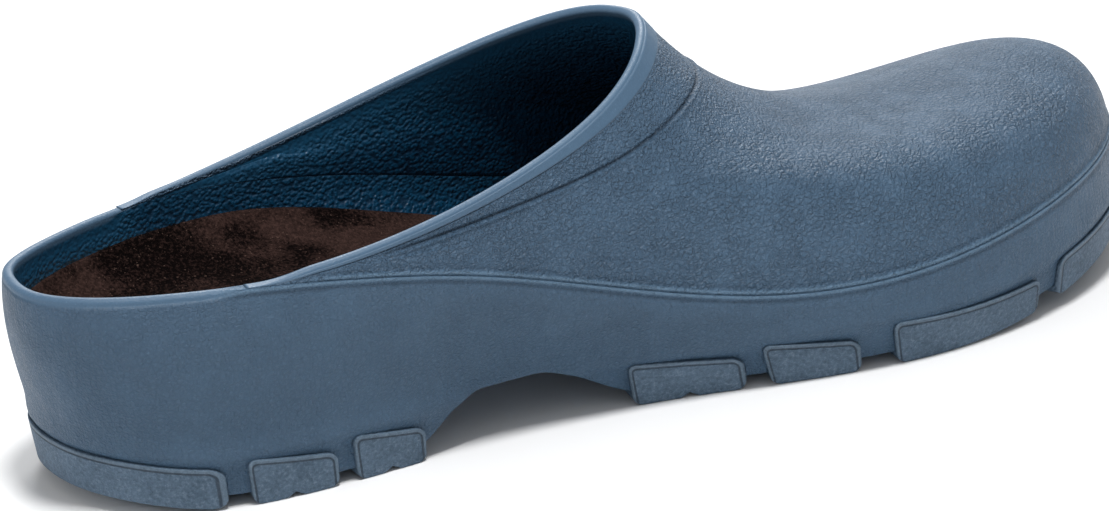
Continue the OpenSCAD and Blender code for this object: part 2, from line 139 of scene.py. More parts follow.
def smooth(t):
    t = np.clip(t, 0, 1)
    return t * t * (3 - 2 * t)


def ease(x, start, end):
    """Smooth share from 0 to 1 between two drawn places along the clog."""
    start, end = ((v - drawn_middle[0]) * stretch[0] for v in (start, end))
    return smooth((x - start) / (end - start))


def mix(a, b, t):
    return a + (b - a) * t


def ground_z(x):
    """Height of the tread's lower face, which rises at the toe and the back of the heel."""
    return toe_spring * ease(x, 205, 300) + heel_spring * (1 - ease(x, -8, 30))


def under_z(x):
    """Height of the shell's underside, with its arch."""
    return ground_z(x) + tread_depth + arch_rise * ease(x, 72, 92) * (1 - ease(x, 106, 135))


def floor_z(x):
    """Height of the shell's floor inside."""
    return mix(floor_heel, floor_ball, ease(x, 60, 160)) + floor_toe_rise * ease(x, 205, 300)


def bezier(a, b, c, d, t):
    return (1 - t) ** 3 * a + 3 * (1 - t) ** 2 * t * b + 3 * (1 - t) * t ** 2 * c + t ** 3 * d


def wall_foot(u):
    """Lower edge of the sole wall, a lug's thickness in from the ground outline."""
    foot = spline(FOOT, u)
    low = foot - lug_proud * outward(FOOT, u)
    low[..., 2] = under_z(foot[..., 0])
    return low


def wall(u, t):
    """Outer surface of the sole wall; t runs from its lower edge to the seam."""
    o, a, p = outward(FOOT, u), wall_foot(u), spline(SEAM, u)
    h = (p[..., 2] - a[..., 2])[..., None]
    t = t[..., None]
    swell = mix(0.5, 0.8, smooth((h - 15) / 30))
    return bezier(a, a + UP * h * 0.35 + o * 2.5, p - (UP - seam_lean * o) * h * 0.35 + o * swell, p, t)


def facing(surface, u, t, step=0.01):
    """Outward direction of a surface of ribs."""
    across = surface(u + step, t) - surface(u - step, t)
    along = surface(u, np.minimum(1, t + step)) - surface(u, np.maximum(0, t - step))
    return unit(np.cross(across, along))


def grid(u, t):
    return np.broadcast_arrays(np.asarray(u, float)[:, None], np.asarray(t, float))


def seam_apart(u):
    """How far the seam lies below the rim, in millimetres."""
    return np.linalg.norm(spline(RIM, u) - spline(SEAM, u), axis=-1)


def vamp_full(u):
    """Share of the vamp's full shape; it falls to 0 where the vamp ends."""
    return np.minimum(1, seam_apart(u) / full_height) ** 2


def edge_wall(u):
    """Thickness of the shell's upper edge."""
    return mix(rim_wall, seam_wall, vamp_full(u))


def ledge(u):
    """Inner edge of the shell's top, level with the seam."""
    return spline(SEAM, u) - edge_wall(u)[..., None] * outward(SEAM, u)


def shares_at(surface, u, distance, steps=240):
    """Shares t along each rib at given distances from its upper end, and each rib's whole length."""
    ts = np.linspace(0, 1, steps)
    points = surface(*grid(u, ts))
    walk = np.concatenate([np.zeros((len(u), 1)),
                           np.cumsum(np.linalg.norm(np.diff(points, axis=1), axis=2), axis=1)], axis=1)
    total = walk[:, -1]
    wanted = total[:, None] - distance(total)
    return np.array([np.interp(w, x, ts) for w, x in zip(wanted, walk)]), total


def rounded(corner, first, second, radius, steps=6):
    """Quarter round over a corner, from the side that runs along first to the one along second."""
    angle = np.linspace(0, np.pi / 2, steps + 1)[None, :, None]
    r = np.broadcast_to(radius, (len(corner),))[:, None, None]
    return (corner[:, None] + first[:, None] * r * (1 - np.sin(angle))
            + second[:, None] * r * (1 - np.cos(angle)))


class Grain:
    """A socket in a material's nodes. Operators between values add Math nodes."""

    def __init__(self, tree, socket=None):
        self.tree, self.socket = tree, socket

    def add(self, kind, settings=None, sockets=None, out=0):
        """Adds one node: its settings are set first, then its sockets take values or links."""
        node = self.tree.nodes.new("ShaderNode" + kind)
        for key, value in (settings or {}).items():
            setattr(node, key, value)
        for key, value in (sockets or {}).items():
            if isinstance(value, Grain):
                self.tree.links.new(value.socket, node.inputs[key])
            else:
                node.inputs[key].default_value = value
        return Grain(self.tree, node.outputs[out])

    def maths(self, operation, *values):
        return self.add("Math", {"operation": operation}, dict(enumerate(values)))

    def __add__(self, other): return self.maths("ADD", self, other)
    def __radd__(self, other): return self.maths("ADD", other, self)
    def __sub__(self, other): return self.maths("SUBTRACT", self, other)
    def __rsub__(self, other): return self.maths("SUBTRACT", other, self)
    def __mul__(self, other): return self.maths("MULTIPLY", self, other)
    def __rmul__(self, other): return self.maths("MULTIPLY", other, self)

    def over(self, low, high):
        """0 below low, 1 above high, smooth between."""
        return self.add("MapRange", {"interpolation_type": "SMOOTHSTEP"}, {0: self, 1: low, 2: high})

    def line(self, middle, half, soft):
        """1 on a thin line where the value is near a middle."""
        return 1 - self.maths("ABSOLUTE", self - middle).over(half, half + soft)

    def colour(self, low, high):
        """Colour between two others by this value."""
        ends = {side: value if isinstance(value, Grain) else (*value, 1) for side, value in ((6, low), (7, high))}
        return self.add("Mix", {"data_type": "RGBA"}, {0: self, **ends}, out=2)

    def moved(self, operation, other):
        return self.add("VectorMath", {"operation": operation}, {0: self, 1: other})

    def noise(self, size, detail=2.0, roughness=0.5, out=0):
        """Cloudy pattern whose blotches have a size in millimetres."""
        return self.add("TexNoise", None, {"Vector": self, "Scale": 1 / size, "Detail": detail,
                                           "Roughness": roughness}, out=out)

    def cells(self, size, feature="DISTANCE_TO_EDGE", out="Distance"):
        return self.add("TexVoronoi", {"feature": feature}, {"Vector": self, "Scale": 1 / size}, out=out)

    def measure(self, name):
        """A length or share kept at each point of the mesh."""
        return self.add("Attribute", {"attribute_name": name}, out="Fac")


def finish_of(name, **fixed):
    """New material: its principled shader with fixed values set, and the place in millimetres on the piece."""
    material = bpy.data.materials.new(name)
    material.use_nodes = True
    tree = material.node_tree
    shader = tree.nodes["Principled BSDF"]
    for socket, value in fixed.items():
        shader.inputs[socket.replace("_", " ")].default_value = value
    start = Grain(tree)
    spot = start.add("TexCoord", out="Object").moved("MULTIPLY", (1 / MM,) * 3)
    return material, shader, spot


def wear(material, shader, colour, rough, height, depth):
    """Joins a finish's varying values to its shader: colour, roughness and a height in millimetres."""
    tree = material.node_tree
    for socket, value in (("Base Color", colour), ("Roughness", rough)):
        tree.links.new(value.socket, shader.inputs[socket])
    bump = height.add("Bump", None, {"Height": height, "Distance": MM * depth, "Strength": 1.0})
    tree.links.new(bump.socket, shader.inputs["Normal"])


def leather_cells(spot, size, warp):
    """Domed cells between creases, as pressed into moulded leather grain."""
    pushed = spot.noise(size * 2.2, 2, out="Color").moved("SUBTRACT", (0.5, 0.5, 0.5))
    bent = spot.moved("ADD", pushed.moved("MULTIPLY", (warp,) * 3))
    return bent.cells(size).over(0.0, 0.32)


blue = (0.066, 0.129, 0.208)
blue_deep = (0.048, 0.099, 0.166)
# Light blue for random worn specks, and for the painted highlight on the flash lip and, faintly, the rim band
worn_specks_and_highlight_blue = (0.13, 0.225, 0.33)
# Painted shade for the hollows of the grain
grain_hollow_shade_blue = (0.018, 0.043, 0.08)
# The lining's colours are painted shade, with painted glints on its knobs
lining_shade_blue = (0.0006, 0.015, 0.04)
lining_glint = (0.006, 0.075, 0.16)


def clog_skin(name, pebble_size, pebble_depth, fine_depth, creases, grain_shade):
    """The clog's blue skin: grain outside, smooth bands at the rim, and inside a knobbly lining coloured in painted
    shade.
    """
    material, shader, spot = finish_of(name, Specular_IOR_Level=0.4)
    large, patchy = spot.noise(38, 3), spot.noise(9, 2).over(0.3, 0.6)
    pebble = leather_cells(spot, pebble_size, pebble_size * 0.6)
    small = leather_cells(spot, pebble_size * 0.5, pebble_size * 0.5)
    fine = spot.noise(0.6, 3, 0.65)
    along_creases = {"Vector": spot, "Rotation": (0, math.radians(38), 0), "Scale": (1, 0.45, 0.16)}
    crease = spot.add("Mapping", None, along_creases).noise(1.5, 2, 0.6)
    depth_in = spot.measure("lining")
    inside = depth_in.over(0.3, 1.5)
    band, flash, groove = (spot.measure(key) for key in ("band", "flash", "groove"))
    knobs = 1 - spot.moved("ADD", spot.noise(3, 2, out="Color")).cells(0.95, "SMOOTH_F1").over(0.1, 0.85)
    grain = ((pebble * 0.7 + small * 0.5) * (0.6 + 0.4 * patchy)) * pebble_depth
    grain = grain + fine * fine_depth + crease * creases
    outer = grain * (1 - band) + fine * (fine_depth * 0.3) * band
    knobbly = knobs * 0.34 + spot.noise(0.6, 2) * 0.16
    height = outer * (1 - inside) + knobbly * inside * (0.3 + 0.7 * depth_in.over(2.5, 6))
    tint = (0.5 + (large - 0.5) * 1.6 + (fine - 0.5) * 0.9).colour(blue_deep, blue)
    # Painted shade: the hollows between the grain's pebbles darkened, except on the rim band
    grain_hollow_shade = (1 - pebble * 0.7 - small * 0.3) * (0.7 + 0.3 * patchy) * (1 - band) * grain_shade
    tint = grain_hollow_shade.colour(tint, grain_hollow_shade_blue)
    tint = (spot.noise(0.5, 2).over(0.6, 0.8) * 0.4).colour(tint, worn_specks_and_highlight_blue)
    # Painted shade in the grooves: the collar groove, the line along the band and the hollow beside the flash lip
    tint = (groove * 0.8).colour(tint, (0.012, 0.025, 0.045))
    # Painted highlight on the flash lip and the seam's rounded corner, and faintly on the rim band
    tint = (flash * 0.6 + band * 0.1).colour(tint, worn_specks_and_highlight_blue)
    # Painted shade: the lining coloured dark navy, with painted glints on its knobs
    lining_shade_colour = (knobs * 0.5 + spot.noise(7, 2) * 0.5 - 0.2).colour(lining_shade_blue, lining_glint)
    # Painted light: the lining lighter near its upper edge, darker deeper in
    lining_shade_colour = ((1 - depth_in.over(2, 24)) * 0.7).colour(lining_shade_colour, (0.012, 0.082, 0.165))
    colour = inside.colour(tint, lining_shade_colour)
    rough = (0.5 + (spot.noise(5, 3) - 0.5) * 0.25 - pebble * 0.06) * (1 - inside) + inside * (0.52 - knobs * 0.2)
    wear(material, shader, colour, rough, height, 1.0)
    return material


shell_skin = clog_skin("moulded_shell_skin", 1.2, 0.26, 0.55, 0.85, 0.26)


def quads(index, flip=False):
    """Faces of a grid of point numbers; cells that shrink to a line are left out, to a corner made triangles."""
    a, b, c, d = index[:-1, :-1], index[1:, :-1], index[1:, 1:], index[:-1, 1:]
    cells = np.stack([a, d, c, b] if flip else [a, b, c, d], -1).reshape(-1, 4)
    whole = (cells[:, 0] != cells[:, 1]) & (cells[:, 1] != cells[:, 2]) & (cells[:, 2] != cells[:, 3]) \
        & (cells[:, 3] != cells[:, 0])
    faces = cells[whole].tolist()
    for cell in cells[~whole].tolist():
        kept = [p for p, before in zip(cell, cell[-1:] + cell[:-1]) if p != before]
        if len(set(kept)) > 2:
            faces.append(kept)
    return faces


def make_piece(name, points, faces, material, body, replaced, slot, measures=None):
    """New mesh from points in millimetres, riding on a body and standing for a CAD node."""
    mesh = bpy.data.meshes.new(name)
    mesh.from_pydata((points * MM).tolist(), [], faces)
    mesh.polygons.foreach_set("use_smooth", [True] * len(mesh.polygons))
    for key, values in (measures or {}).items():
        kept = mesh.attributes.new(key, "FLOAT", "POINT")
        kept.data.foreach_set("value", np.ascontiguousarray(values, dtype=np.float32).ravel())
    mesh.materials.append(material)
    mesh.update()
    piece = bpy.data.objects.new(name, mesh)
    bpy.context.scene.collection.objects.link(piece)
    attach(piece, body)
    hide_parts(replaced)


shell_columns = 32 * RIBS
u_shell = np.arange(shell_columns) / 32
rim_here = 1 - smooth((seam_apart(u_shell) - 0.15) / 1.2)
seam_radius, rim_radius, lining_radius = 0.1, 1.15, 1.1
outer_round = mix(seam_radius, rim_radius, rim_here)
lip_height, hollow_depth = 0.3, 0.12
flash_rows = np.array([0.08, 0.2, 0.35, 0.5, 0.65, 0.8, 0.95, 1.1, 1.3, 1.6, 2.0, 2.6, 3.4])
wall_rows = 46


def lip_over(distance):
    """Share of the flash lip's height, by the distance from the parting line."""
    return smooth(distance / 0.25) * (1 - smooth((distance - 0.7) / 0.5))


def hollow_past(distance):
    """Share of the faint hollow's depth beyond the flash lip."""
    return np.exp(-((distance - 1.75) / 0.4) ** 2)


def shell_distances(total):
    """Distances of the wall's rows from its seam: even, then close together under the seam."""
    near = outer_round[:, None] + flash_rows[::-1]
    even = mix(total[:, None], near[:, :1] + 1, np.linspace(0, 1, wall_rows))
    return np.concatenate([even, near, outer_round[:, None]], axis=1)


t_wall, wall_length = shares_at(wall, u_shell, shell_distances)
u_wall = np.broadcast_to(u_shell[:, None], t_wall.shape)
below_seam = shell_distances(wall_length) - outer_round[:, None]
wall_face = facing(wall, u_wall, t_wall)
flash_lip = lip_over(below_seam) * (1 - rim_here)[:, None]
under_lip = hollow_past(below_seam) * (1 - rim_here)[:, None]
wall_points = wall(u_wall, t_wall)
# The wall swells out a little just above the tread lugs
swell_height, swell_depth = 12.3, 0.75
over_lugs = wall_points[..., 2] - ground_z(wall_points[..., 0]) - swell_height
swelling = swell_depth * np.exp(-(over_lugs / np.where(over_lugs > 0, 3.4, 1.6)) ** 2) \
    * (1 - smooth((6 - below_seam) / 4))
outer_rows = wall_points + wall_face * (lip_height * flash_lip - hollow_depth * under_lip + swelling)[..., None]

top_edge, top_ledge = spline(SEAM, u_shell), ledge(u_shell)
ledge_way = unit(top_ledge - top_edge)
down_way = unit(wall(u_shell, np.full(shell_columns, 0.985)) - top_edge)
top_round = rounded(top_edge, down_way, ledge_way, outer_round)


def shell_inside(u, t):
    """Inner surface of the wall, which thins towards its upper edge."""
    inset = mix(shell_wall, edge_wall(u), t * t)[..., None]
    return wall(u, t) - inset * facing(wall, u, t)


def share_at_height(surface, u, z, halvings=14):
    """Share t at which each rib reaches a height."""
    low, high = np.zeros_like(u), np.ones_like(u)
    for _ in range(halvings):
        middle = (low + high) / 2
        below = surface(u, middle)[..., 2] < z
        low, high = np.where(below, middle, low), np.where(below, high, middle)
    return (low + high) / 2


floor_here = floor_z(wall_foot(u_shell)[:, 0])
t_floor = share_at_height(shell_inside, u_shell, floor_here)
inner_rows = 30
t_inside = mix(1.0, t_floor[:, None], np.linspace(0, 1, inner_rows + 1)[None, :])
u_inside = np.broadcast_to(u_shell[:, None], t_inside.shape)
inside_points = shell_inside(u_inside, t_inside)
pull_in = np.clip(1 - (1 - t_inside) / 0.2, 0, 1) ** 2
inside_points = inside_points + (top_ledge[:, None] - inside_points[:, :1]) * pull_in[..., None]
inside_points[:, -1, 2] = floor_here
inner_round = np.minimum(mix(seam_radius / 2, lining_radius, rim_here), edge_wall(u_shell) * 0.42)
inner_down = unit(inside_points[:, 3] - top_ledge)
ledge_round = rounded(top_ledge, -ledge_way, inner_down, inner_round)
ring = np.concatenate([outer_rows, top_round[:, 1:], ledge_round, inside_points[:, 2:]], axis=1)
rows = ring.shape[1]
face_rows = outer_rows.shape[1]
lining_row = face_rows + 12
# How far inside a point lies, from the lining's upper edge; under the vamp it starts deep
under_vamp, deep_inside = 12.0, 20.0
inside_depth = np.linalg.norm(ring - ledge_round[:, -1:], axis=2)
inside_depth[:, lining_row:] += under_vamp * (1 - rim_here)[:, None]
inside_depth[:, :lining_row] = 0

half = shell_columns // 2
cross = 16
index = np.arange(shell_columns * rows).reshape(shell_columns, rows)


def spread_across(column, height):
    """Rows of points from the outer side to the inner side, with their heights."""
    shares = np.linspace(0, 1, cross + 1)[None, 1:-1, None]
    points = mix(ring[1:half, column][:, None], ring[:half:-1, column][:, None], shares)
    points[..., 2] = height(points[..., 0])
    return points


def sheet_index(column, start):
    """Point numbers of the underside or the floor: its edges are the ring's, its middle is new."""
    numbers = np.zeros((half + 1, cross + 1), dtype=int)
    numbers[:, 0] = index[np.arange(half + 1), column]
    numbers[:, -1] = index[-np.arange(half + 1) % shell_columns, column]
    numbers[0, :], numbers[-1, :] = index[0, column], index[half, column]
    numbers[1:-1, 1:-1] = start + np.arange((half - 1) * (cross - 1)).reshape(half - 1, cross - 1)
    return numbers


underside = spread_across(0, under_z)
shell_floor = spread_across(rows - 1, floor_z)
ring_count, sheet_count = shell_columns * rows, (half - 1) * (cross - 1)
closed = np.concatenate([index, index[:1]])
shell_points = np.concatenate([ring.reshape(-1, 3), underside.reshape(-1, 3), shell_floor.reshape(-1, 3)])
shell_faces = (quads(closed) + quads(sheet_index(0, ring_count), flip=True)
               + quads(sheet_index(rows - 1, ring_count + sheet_count)))
flash_highlight_ring, band_ring, groove_shade_ring = np.zeros((3, *ring.shape[:2]))
# Painted highlight on the flash lip and, above it, the seam's rounded corner
flash_highlight_ring[:, :face_rows] = flash_lip
flash_highlight_ring[:, face_rows:face_rows + top_round.shape[1] - 1] = (1 - rim_here)[:, None]
band_ring[:, :face_rows] = rim_here[:, None] * (1 - smooth((below_seam - 0.2) / 1.2))
band_ring[:, face_rows:] = rim_here[:, None]
# Painted shade in the faint hollow under the flash lip
groove_shade_ring[:, :face_rows] = 0.3 * under_lip


def with_sheets(values, floor_value=0.0):
    """Values of the ring, then of the underside and the floor."""
    return np.concatenate([values.ravel(), np.zeros(sheet_count), np.full(sheet_count, floor_value)])


make_piece("shell_moulding", shell_points, shell_faces, shell_skin, "clog", "sole_shell", "shell",
           {"lining": with_sheets(inside_depth, deep_inside), "flash": with_sheets(flash_highlight_ring),
            "band": with_sheets(band_ring), "groove": with_sheets(groove_shade_ring)})

# ---- Vamp ----
# The upper that covers the forefoot, moulded of the same foam against the shell along the seam. Its skin has a
# pebbled leather grain. A groove with a soft lip runs round the collar, and a smooth band with a rounded edge
# follows the foot opening.
# On each rib: rise at the seam, share and height of the crown, reach at the rim and the rim's slope in degrees
VAMP = np.array([[8, .5, 57, 8, 88], [8, .5, 57, 8, 88], [8, .5, 57, 8, 88], [6, .5, 56, 6, 86],
                 [5, .5, 53, 5, 84], [9, .5, 52, 9, 80], [13, .35, 54, 14, 70], [12, .32, 51, 24, 60],
                 [14.5, .32, 51.5, 35, 55], [18, .32, 51.5, 44, 54], [20, .32, 53.5, 47, 54],
                 [20, .3, 52.5, 48, 54],
                 [17, .32, 45, 49, 54], [9, .32, 36, 47, 55], [4.5, .32, 32, 42, 58], [8, .32, 38, 28, 62],
                 [11, .4, 48, 16, 70], [9, .5, 52, 9, 80], [4, .5, 54, 4, 84], [6, .5, 56, 6, 86],
                 [8, .5, 57, 8, 88], [8, .5, 57, 8, 88]])
VAMP[:, (0, 2, 3)] *= stretch[2]
# Distance of the collar groove from the rim on each rib
COLLAR = np.array([1.9, 1.9, 1.9, 1.6, 3.0, 7.0, 12.6, 15.8, 18.3, 19.5, 20.2, 20.5, 20.0, 18.0, 15.6, 12.5,
                   9.5, 6.5, 3.0, 1.6, 1.9, 1.9])[:, None]
vamp_start, vamp_end = 2.82, 19.4


def vamp(u, t):
    """Outer surface of the vamp; t runs from the seam to the rim."""
    o, p, r, rib = outward(FOOT, u), spline(SEAM, u), spline(RIM, u), spline(VAMP, u)
    rim_out, full, t = outward(RIM, u), vamp_full(u)[..., None], t[..., None]
    crown = mix(p, r, rib[..., 1:2])
    crown[..., 2] = rib[..., 2]
    slope = np.radians(rib[..., 4:5])
    b = mix(mix(p, r, 0.25), p + (UP - seam_lean * o) * rib[..., 0:1], full)
    c = mix(mix(p, r, 0.5), crown, full)
    d = mix(mix(p, r, 0.75), r + (rim_out * np.cos(slope) - UP * np.sin(slope)) * rib[..., 3:4], full)
    bc, cd = (b + c) / 2, (c + d) / 2
    middle = (bc + cd) / 2
    return np.where(t < 0.5, bezier(p, b, bc, middle, 2 * t), bezier(middle, cd, d, r, 2 * t - 1))


def vamp_facing(u, t):
    """Outward direction of the vamp, level where it ends on the shell."""
    return unit(mix(outward(SEAM, u), facing(vamp, u, t), np.sqrt(vamp_full(u))[..., None]))


vamp_columns = 560
u_vamp = np.linspace(vamp_start, vamp_end, vamp_columns)
vamp_height = seam_apart(u_vamp)
rim_round = np.minimum(rim_radius, vamp_height * 0.3)
collar = spline(COLLAR, u_vamp)[:, 0]
band_edge = rim_round + 0.2 + 0.25 * collar
room = np.clip((collar - band_edge) / 4, 0.02, 1)[:, None]
around_band = np.array([-0.6, -0.4, -0.22, -0.08, 0.08, 0.22, 0.4, 0.6])
around_collar = np.array([-1.7, -1.3, -1.0, -0.75, -0.55, -0.38, -0.22, -0.08, 0.08, 0.22, 0.38, 0.55, 0.75, 1.0,
                          1.25, 1.5, 1.8, 2.2])
seam_rows = np.array([3.4, 2.6, 2.0, 1.6, 1.3, 1.1, 0.95, 0.8, 0.65, 0.5, 0.35, 0.2, 0.08])
vamp_face_rows = 62


def vamp_distances(total):
    """Distances from the rim of the rows, from the seam up to the rim's rounded edge."""
    at_collar, at_band = collar[:, None] + around_collar * room, band_edge[:, None] + around_band * room
    between = mix(at_band[:, -1:], at_collar[:, :1], np.linspace(0, 1, 7)[None, 1:-1])
    at_rim = mix(rim_round[:, None], at_band[:, :1], np.linspace(0, 1, 6)[None, :-1])
    upper = np.concatenate([at_rim, at_band, between, at_collar], axis=1)
    tight = np.minimum(1, (total * 0.55 / upper[:, -1]))[:, None]
    upper = rim_round[:, None] + (upper - rim_round[:, None]) * tight
    seam_room = np.minimum(1, total * 0.3 / seam_rows[0])[:, None]
    lower = total[:, None] - seam_radius * seam_room - seam_rows * seam_room
    even = mix(upper[:, -1:], lower[:, :1], np.linspace(0, 1, vamp_face_rows)[None, 1:-1])
    return np.concatenate([upper, even, lower], axis=1)[:, ::-1]


t_vamp, vamp_length = shares_at(vamp, u_vamp, vamp_distances)
from_rim = vamp_distances(vamp_length)
above_seam = np.maximum(0, vamp_length[:, None] - from_rim - seam_radius)
u_face = np.broadcast_to(u_vamp[:, None], t_vamp.shape)
face_out = vamp_facing(u_face, t_vamp)
tall = smooth((vamp_height - 2) / 5)[:, None]
collar_shown = smooth((u_vamp - 3.55) / 0.7) * smooth((18.45 - u_vamp) / 0.7)
off_collar = from_rim - collar[:, None]
vamp_lip, vamp_under = lip_over(above_seam), hollow_past(above_seam)
collar_cut = np.exp(-(off_collar / 0.42) ** 2) * collar_shown[:, None]
collar_swell = (np.exp(-((off_collar - 1.05) / 0.42) ** 2) - 0.35 * np.exp(-((off_collar + 0.9) / 0.5) ** 2)) \
    * collar_shown[:, None]
off_band = from_rim - band_edge[:, None]
band_cut, in_band = np.exp(-(off_band / 0.2) ** 2), 1 - smooth(off_band / 0.3 + 0.5)
collar_depth, collar_lip, band_line, band_lift = 0.55, 0.3, 0.14, 0.12
lift = (lip_height * vamp_lip * tall - hollow_depth * vamp_under * tall - collar_depth * collar_cut
        + collar_lip * collar_swell - band_line * band_cut * tall + band_lift * in_band * tall)
face_points = vamp(u_face, t_vamp) + face_out * lift[..., None]

rim_edge = spline(RIM, u_vamp)
rim_out = vamp_facing(u_vamp, np.ones(vamp_columns))
rim_down = unit(vamp(u_vamp, np.full(vamp_columns, 0.985)) - rim_edge)
lining_edge = rim_edge - rim_wall * rim_out
rim_corner = rounded(rim_edge, rim_down, -rim_out, rim_round, 8)


def vamp_inside(u, t):
    """Inner surface of the vamp, which thins towards the rim."""
    inset = mix(edge_wall(u), rim_wall, t * t)[..., None]
    return vamp(u, t) - inset * vamp_facing(u, t)


lining_rows = 44
t_lining = np.linspace(1, 0, lining_rows + 1)
lining = vamp_inside(*grid(u_vamp, t_lining))
seam_edge, seam_ledge = spline(SEAM, u_vamp), ledge(u_vamp)
pull_out = np.clip(1 - t_lining / 0.15, 0, 1) ** 2
lining = lining + (seam_ledge[:, None] - lining[:, -1:]) * pull_out[None, :, None]
lining_down = unit(lining[:, 2] - lining_edge)
lining_corner = rounded(lining_edge, rim_out, lining_down, np.minimum(lining_radius, vamp_height * 0.3), 6)
seam_up = unit(vamp(u_vamp, np.full(vamp_columns, 0.02)) - seam_edge)
seam_round = np.minimum(seam_radius, vamp_height * 0.1)
seam_corner = rounded(seam_edge, unit(seam_ledge - seam_edge), seam_up, seam_round, 4)
strip = np.concatenate([seam_corner, face_points, rim_corner, lining_corner, lining[:, 2:]], axis=1)
# Both ends of the vamp thin out to a sliver on the shell's edge
end_share = mix(0.2, 1, smooth((u_vamp - vamp_start) / 0.5) * smooth((vamp_end - u_vamp) / 0.35))[:, None]
strip[..., 2] = mix(seam_edge[:, None, 2], strip[..., 2], end_share)
face_start, face_stop = seam_corner.shape[1], seam_corner.shape[1] + face_points.shape[1]


def on_face(values, rim_value=0.0):
    """Values for the whole strip from those of its outer face."""
    whole = np.zeros(strip.shape[:2])
    whole[:, face_start:face_stop] = values
    whole[:, face_stop:face_stop + rim_corner.shape[1] + lining_corner.shape[1]] = rim_value
    return whole


def capped_run(outlines, flip=False):
    """Points and faces of a solid through a row of closed outlines, with both ends capped."""
    numbers = np.arange(outlines.shape[0] * outlines.shape[1]).reshape(outlines.shape[:2])
    turned = -1 if flip else 1
    ends = [numbers[0, ::turned].tolist(), numbers[-1, ::-turned].tolist()]
    return outlines.reshape(-1, 3), quads(np.concatenate([numbers, numbers[:, :1]], axis=1), flip) + ends


lining_depth = np.linalg.norm(strip - lining_corner[:, -1:], axis=2)
lining_depth[:, :face_stop + rim_corner.shape[1] + 4] = 0
lining_depth[:, -1] = 1.5 * deep_inside
# Painted highlight on the vamp's flash lip and its seam corner
vamp_flash_highlight = on_face(vamp_lip * tall)
vamp_flash_highlight[:, :face_start] = tall
# Painted shade in the collar groove, along the band's edge line and in the hollow above the flash lip
vamp_groove_shade = on_face(np.clip(collar_cut * 0.9 + band_cut * 0.5 * tall + vamp_under * 0.25 * tall, 0, 1))
vamp_skin = clog_skin("moulded_vamp_skin", 1.6, 0.56, 0.36, 0.3, 0.38)
make_piece("vamp_moulding", *capped_run(strip), vamp_skin, "clog", "vamp", "upper",
           {"lining": lining_depth, "flash": vamp_flash_highlight, "band": on_face(in_band, 1.0), "groove": vamp_groove_shade})

# ---- Edge lugs ----
# Twelve tread lugs of harder, greyer blue rubber, moulded separately and bonded round the edge of the sole. Each
# climbs the wall a little way. It has a rounded top edge with a painted highlight, a fine groove round its face
# with painted shade in it, and a sandy texture, and some have a small notch in the lower edge.
lug_height, lug_slope, lug_reach, lug_corner = 10.5, 3.0, 22.0, 2.6
foot_corner, lug_edge, end_round, bond_gap = 2.6, 0.4, 0.7, 0.05
notch_depth, notch_half = 1.2, 2.3
outer_ribs, inner_ribs = np.linspace(0, TOE_RIB, 2000), np.linspace(RIBS, TOE_RIB, 2000)


def rib_at(x, outer=True):
    """Rib position at which the ground outline reaches a drawn place along the clog."""
    ribs = outer_ribs if outer else inner_ribs
    return np.interp((x - drawn_middle[0]) * stretch[0], spline(FOOT, ribs)[:, 0], ribs)


def wall_beside(u, z, inset, step=0.01):
    """Points at given heights on the wall's surface moved in by a distance."""
    def offset(u, t):
        return wall(u, t) - (inset * facing(wall, u, t, step).T).T

    point = offset(u, share_at_height(offset, u, z))
    point[..., 2] = z
    return point


def corner_fall(d, radius):
    """How far a round corner lies in from its square at a distance from the end."""
    return radius - np.sqrt(np.maximum(0, radius ** 2 - np.maximum(0, radius - d) ** 2))


def lug_places(length):
    """Shares along a lug, close together at its ends and even between them."""
    end = lug_corner * np.array([0, 0.015, 0.04, 0.075, 0.12, 0.175, 0.25, 0.35, 0.475, 0.625, 0.8])
    middle = np.linspace(lug_corner, length - lug_corner, 2 * math.ceil((length - 2 * lug_corner) / 1.6) + 1)
    return np.concatenate([end, middle, length - end[::-1]]) / length


def face_border(gap, below):
    """Distance from the outline of a face whose upper corner is round."""
    arc = lug_corner - np.hypot(lug_corner - gap, lug_corner - below)
    return np.where((gap < lug_corner) & (below < lug_corner), arc, np.minimum(gap, below))


rubber, rubber_shader, spot = finish_of("tread_rubber", Specular_IOR_Level=0.35)
sand = spot.noise(0.95, 3, 0.75)
grit = spot.cells(0.55, "F1").over(0.0, 0.5)
edge = spot.measure("edge")
far_from_edge = 8.0
edge_groove_and_shade = edge.line(1.15, 0.12, 0.2)
edge_lip_and_highlight = edge.line(0.45, 0.3, 0.4)
rubber_tint = ((spot.noise(14, 3) - 0.5) * 1.2 + 0.5 + (sand - 0.5) * 2.4).colour((0.052, 0.093, 0.142),
                                                                                (0.13, 0.2, 0.285))
rubber_tint = (sand.over(0.54, 0.7) * 0.5).colour(rubber_tint, (0.19, 0.25, 0.31))
# Painted highlight along each lug's rounded top edge
rubber_tint = (edge_lip_and_highlight * 0.35).colour(rubber_tint, (0.17, 0.235, 0.3))
# Painted shade in the fine groove round each lug's face
rubber_tint = (edge_groove_and_shade * 0.7).colour(rubber_tint, (0.015, 0.028, 0.046))
wear(rubber, rubber_shader, rubber_tint, 0.6 + (sand - 0.5) * 0.25 - edge_lip_and_highlight * 0.08,
     sand * 1.0 + grit * 0.15 - edge_groove_and_shade * 0.35 + edge_lip_and_highlight * 0.12, 1.0)


